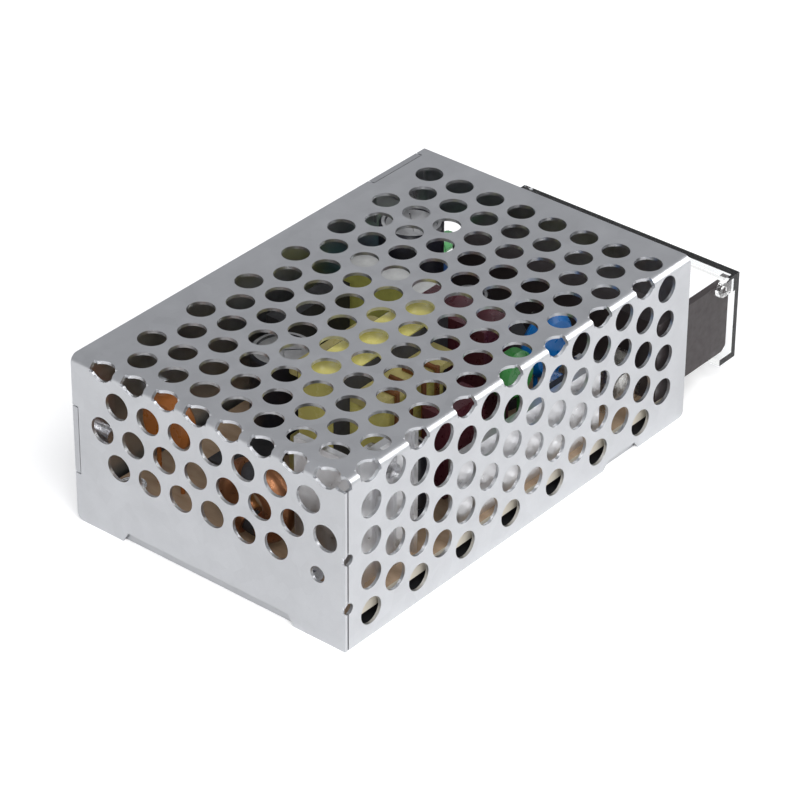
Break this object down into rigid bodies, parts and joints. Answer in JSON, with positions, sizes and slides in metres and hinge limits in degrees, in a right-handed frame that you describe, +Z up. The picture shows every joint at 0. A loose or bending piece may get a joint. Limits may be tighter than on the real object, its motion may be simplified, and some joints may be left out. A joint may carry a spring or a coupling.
{
  "type": "mesh case switching power supply",
  "caption": "Switching power supply in a folded perforated metal case, with its circuit board, screw terminals at one end and a clear flip-up terminal cover.",
  "frame": {"origin": "middle of the whole part's footprint, on the mounting face", "axes": "+X along the length towards the screw terminals, +Y towards the plain side, +Z up from the mounting face"},
  "size_m": [0.0924, 0.051, 0.028],
  "materials": {
    "zinc_sheet_cover": "zinc-coated sheet, satin",
    "zinc_sheet_chassis": "zinc-coated sheet, satin",
    "plated_screw": "nickel plated",
    "black_film": "thin insulating film",
    "board_laminate": "tan paper laminate",
    "brass_spacer": "turned brass",
    "terminal_plastic": "moulded dark grey",
    "clear_plastic": "clear moulded plastic",
    "ferrite": "sintered, matt",
    "yellow_tape": "polyester tape",
    "black_plastic": "moulded",
    "copper_wire": "enamelled copper",
    "aluminium_sheet": "plain sheet",
    "epoxy_black": "moulded epoxy",
    "capacitor_sleeve": "shrunk sleeve, aluminium top",
    "capacitor_sleeve_white": "shrunk sleeve, aluminium top",
    "yellow_box": "moulded box",
    "maroon_box": "moulded box",
    "blue_coating": "dipped coating",
    "orange_coating": "dipped coating",
    "green_coating": "dipped coating",
    "fuse_glass": "clear glass",
    "nickel_metal": "nickel plated",
    "white_plastic": "moulded",
    "teal_coating": "lacquered",
    "blue_plastic": "moulded",
    "green_lens": "tinted lens"
  },
  "bodies": {
    "case": {"mesh_cover": "zinc_sheet_cover", "base_chassis": "zinc_sheet_chassis", "cover_screws": "plated_screw", "insulating_film": "black_film", "circuit_board": "board_laminate", "board_spacers": "brass_spacer", "board_screws": "plated_screw", "terminal_block": "terminal_plastic", "transformer_core": "ferrite", "transformer_tape": "yellow_tape", "transformer_bobbin": "black_plastic", "transformer_winding": "yellow_tape", "transformer_leads": "copper_wire", "primary_heatsink": "aluminium_sheet", "switching_transistor": "epoxy_black", "transistor_screw": "plated_screw", "output_heatsink": "aluminium_sheet", "output_rectifier": "epoxy_black", "rectifier_screw": "plated_screw", "mains_capacitor": "capacitor_sleeve", "output_capacitor": "capacitor_sleeve_white", "filter_capacitor": "capacitor_sleeve", "supply_capacitor": "capacitor_sleeve", "suppression_capacitor": "yellow_box", "input_film_capacitor": "maroon_box", "output_film_capacitor": "maroon_box", "safety_capacitor": "blue_coating", "disc_capacitor": "orange_coating", "thermistor": "green_coating", "drum_choke_core": "ferrite", "drum_choke_coil": "copper_wire", "line_choke_core": "ferrite", "line_choke_coils": "copper_wire", "bridge_rectifier": "epoxy_black", "fuse_tube": "fuse_glass", "fuse_caps": "nickel_metal", "fuse_clips": "nickel_metal", "optocoupler": "white_plastic", "control_chip": "epoxy_black", "load_resistor": "teal_coating", "voltage_trimmer": "blue_plastic", "indicator_lamp": "green_lens", "terminal_contact_1": "nickel_metal", "terminal_contact_2": "nickel_metal", "terminal_contact_3": "nickel_metal", "terminal_contact_4": "nickel_metal", "terminal_contact_5": "nickel_metal"},
    "flip_cover": {"terminal_cover": "clear_plastic"},
    "trimmer": {"trimmer_rotor": "white_plastic"},
    "clamp_1": {"clamp_washer_1": "nickel_metal"},
    "screw_1": {"terminal_screw_1": "plated_screw"},
    "clamp_2": {"clamp_washer_2": "nickel_metal"},
    "screw_2": {"terminal_screw_2": "plated_screw"},
    "clamp_3": {"clamp_washer_3": "nickel_metal"},
    "screw_3": {"terminal_screw_3": "plated_screw"},
    "clamp_4": {"clamp_washer_4": "nickel_metal"},
    "screw_4": {"terminal_screw_4": "plated_screw"},
    "clamp_5": {"clamp_washer_5": "nickel_metal"},
    "screw_5": {"terminal_screw_5": "plated_screw"}
  },
  "joints": [
    {"name": "flip_cover_hinge", "type": "hinge", "parent": "case", "child": "flip_cover", "pos_m": [0.0424, -0.00465, 0.0177], "axis": [0, -1, 0], "range_deg": [0, 100]},
    {"name": "clamp_slide_1", "type": "slide", "parent": "case", "child": "clamp_1", "axis": [1, 0, 0], "range_m": [0, 0.0015]},
    {"name": "screw_turn_1", "type": "hinge", "parent": "clamp_1", "child": "screw_1", "pos_m": [0.035, -0.01989, 0.012], "axis": [1, 0, 0], "range_deg": [0, 1200]},
    {"name": "clamp_slide_2", "type": "slide", "parent": "case", "child": "clamp_2", "axis": [1, 0, 0], "range_m": [0, 0.0015]},
    {"name": "screw_turn_2", "type": "hinge", "parent": "clamp_2", "child": "screw_2", "pos_m": [0.035, -0.01227, 0.012], "axis": [1, 0, 0], "range_deg": [0, 1200]},
    {"name": "clamp_slide_3", "type": "slide", "parent": "case", "child": "clamp_3", "axis": [1, 0, 0], "range_m": [0, 0.0015]},
    {"name": "screw_turn_3", "type": "hinge", "parent": "clamp_3", "child": "screw_3", "pos_m": [0.035, -0.00465, 0.012], "axis": [1, 0, 0], "range_deg": [0, 1200]},
    {"name": "clamp_slide_4", "type": "slide", "parent": "case", "child": "clamp_4", "axis": [1, 0, 0], "range_m": [0, 0.0015]},
    {"name": "screw_turn_4", "type": "hinge", "parent": "clamp_4", "child": "screw_4", "pos_m": [0.035, 0.00297, 0.012], "axis": [1, 0, 0], "range_deg": [0, 1200]},
    {"name": "clamp_slide_5", "type": "slide", "parent": "case", "child": "clamp_5", "axis": [1, 0, 0], "range_m": [0, 0.0015]},
    {"name": "screw_turn_5", "type": "hinge", "parent": "clamp_5", "child": "screw_5", "pos_m": [0.035, 0.01059, 0.012], "axis": [1, 0, 0], "range_deg": [0, 1200]},
    {"name": "trimmer_turn", "type": "hinge", "parent": "case", "child": "trimmer", "pos_m": [0.0308, 0.01965, 0.0083], "axis": [1, 0, 0], "range_deg": [-135, 135]}
  ],
  "couplings": [
    {"joint": "screw_turn_1", "follows": "clamp_slide_1", "rad_per_m": 12566},
    {"joint": "screw_turn_2", "follows": "clamp_slide_2", "rad_per_m": 12566},
    {"joint": "screw_turn_3", "follows": "clamp_slide_3", "rad_per_m": 12566},
    {"joint": "screw_turn_4", "follows": "clamp_slide_4", "rad_per_m": 12566},
    {"joint": "screw_turn_5", "follows": "clamp_slide_5", "rad_per_m": 12566}
  ]
}
